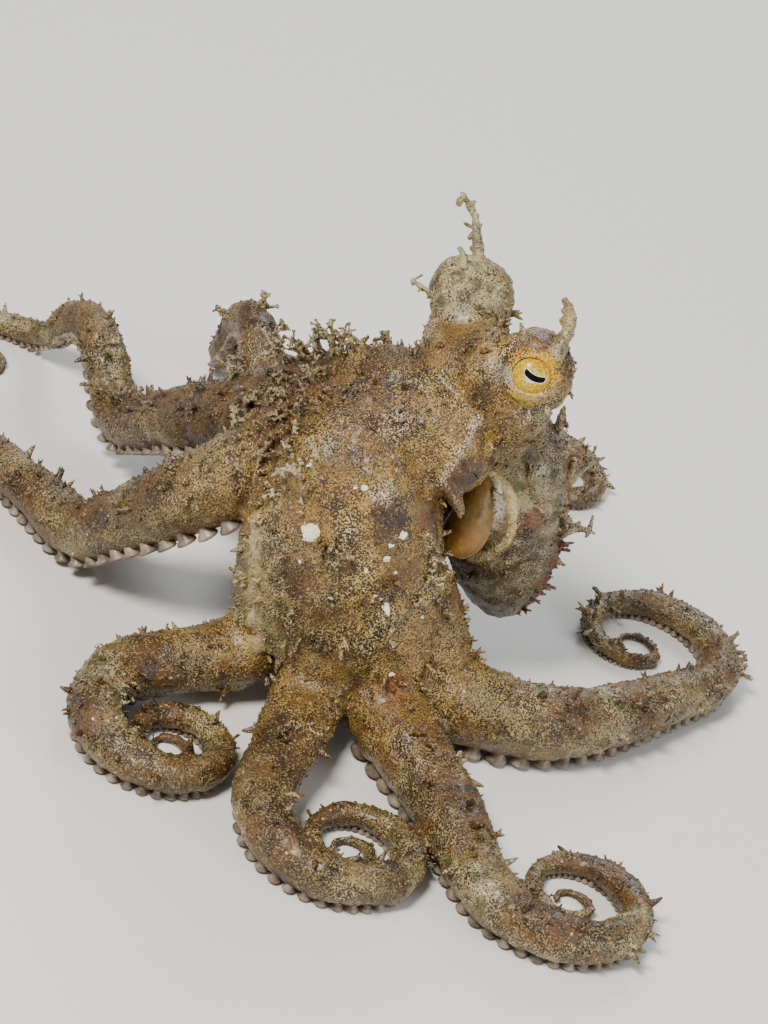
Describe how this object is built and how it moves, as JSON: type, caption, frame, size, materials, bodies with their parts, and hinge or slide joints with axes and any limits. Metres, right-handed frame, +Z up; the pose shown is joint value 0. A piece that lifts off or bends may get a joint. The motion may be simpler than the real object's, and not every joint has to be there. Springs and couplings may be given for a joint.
{
  "type": "octopus",
  "caption": "Life-size algae octopus resting on its arms with its head raised, mantle hanging behind, arms trailing and curling on the floor.",
  "frame": {"origin": "on the floor under the middle of the bounding box", "axes": "+Z up from the floor, the octopus faces -Y, its own left side is +X"},
  "size_m": [0.1778, 0.1426, 0.0817],
  "materials": {
    "skin": "damp speckled skin, tan and cream with brown and olive patches",
    "eye": "wet, clear surface over a golden iris",
    "funnel": "damp amber flesh"
  },
  "bodies": {
    "root": {"mantle": "skin", "head": "skin", "crown": "skin", "eye_left": "eye", "eye_right": "eye", "funnel": "funnel", "arm_l1_near": "skin", "arm_l1_middle": "skin", "arm_l1_tip": "skin", "arm_l2_near": "skin", "arm_l2_middle": "skin", "arm_l2_tip": "skin", "arm_l3_near": "skin", "arm_l3_middle": "skin", "arm_l3_tip": "skin", "arm_l4_near": "skin", "arm_l4_middle": "skin", "arm_l4_tip": "skin", "arm_r1_near": "skin", "arm_r1_middle": "skin", "arm_r1_tip": "skin", "arm_r2_near": "skin", "arm_r2_middle": "skin", "arm_r2_tip": "skin", "arm_r3_near": "skin", "arm_r3_middle": "skin", "arm_r3_tip": "skin", "arm_r4_near": "skin", "arm_r4_middle": "skin", "arm_r4_tip": "skin"}
  },
  "joints": []
}
